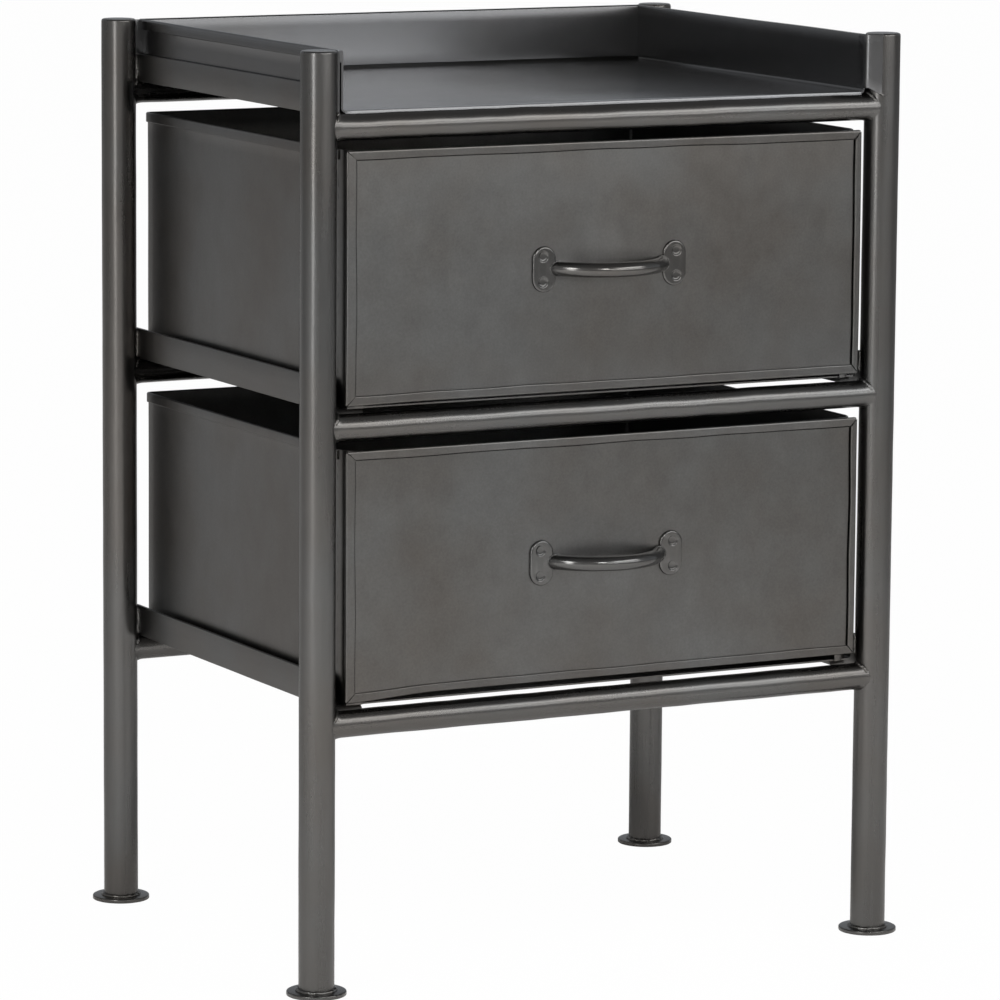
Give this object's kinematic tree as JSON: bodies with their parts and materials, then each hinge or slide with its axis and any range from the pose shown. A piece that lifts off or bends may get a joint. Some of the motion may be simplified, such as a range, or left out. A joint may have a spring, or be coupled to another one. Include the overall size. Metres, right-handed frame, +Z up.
{
  "type": "bedside chest of drawers",
  "caption": "Welded steel bedside chest: round tube legs with disc feet, cross rails, a walled tray top and sheet steel drawers with bow handles that slide on angle runners.",
  "frame": {"origin": "on the floor, under the middle of the whole width and of the whole depth, handles included", "axes": "+Z up, -Y out of the drawer fronts, +X to the right seen from the front"},
  "size_m": [0.486, 0.3852, 0.65],
  "materials": {
    "tube_steel": "clear lacquered dark steel, satin",
    "angle_steel": "clear lacquered dark steel, satin",
    "tray_steel": "clear lacquered dark steel, satin, smoother on the flat floor",
    "drawer_steel": "clear lacquered dark steel, satin",
    "front_steel": "clear lacquered dark steel, satin, mottled brown and grey",
    "handle_steel": "clear lacquered dark steel, polished by use"
  },
  "bodies": {
    "frame": {"front_bottom_rail": "tube_steel", "front_left_foot": "tube_steel", "front_left_leg": "tube_steel", "front_left_leg_cap": "tube_steel", "front_middle_rail": "tube_steel", "front_right_foot": "tube_steel", "front_right_leg": "tube_steel", "front_right_leg_cap": "tube_steel", "front_top_rail": "tube_steel", "left_tray_support": "angle_steel", "lower_left_runner": "angle_steel", "lower_right_runner": "angle_steel", "rear_bottom_rail": "tube_steel", "rear_left_foot": "tube_steel", "rear_left_leg": "tube_steel", "rear_left_leg_cap": "tube_steel", "rear_middle_rail": "tube_steel", "rear_right_foot": "tube_steel", "rear_right_leg": "tube_steel", "rear_right_leg_cap": "tube_steel", "rear_top_rail": "tube_steel", "right_tray_support": "angle_steel", "top_tray": "tray_steel", "upper_left_runner": "angle_steel", "upper_right_runner": "angle_steel"},
    "lower_drawer": {"lower_drawer_body": "drawer_steel", "lower_drawer_bottom": "drawer_steel", "lower_drawer_front": "front_steel", "lower_drawer_handle": "handle_steel", "lower_drawer_handle_rivets": "handle_steel"},
    "upper_drawer": {"upper_drawer_body": "drawer_steel", "upper_drawer_bottom": "drawer_steel", "upper_drawer_front": "front_steel", "upper_drawer_handle": "handle_steel", "upper_drawer_handle_rivets": "handle_steel"}
  },
  "joints": [
    {"name": "lower_drawer_slide", "type": "slide", "parent": "frame", "child": "lower_drawer", "axis": [0, -1, 0], "range_m": [0, 0.25]},
    {"name": "upper_drawer_slide", "type": "slide", "parent": "frame", "child": "upper_drawer", "axis": [0, -1, 0], "range_m": [0, 0.25]}
  ]
}
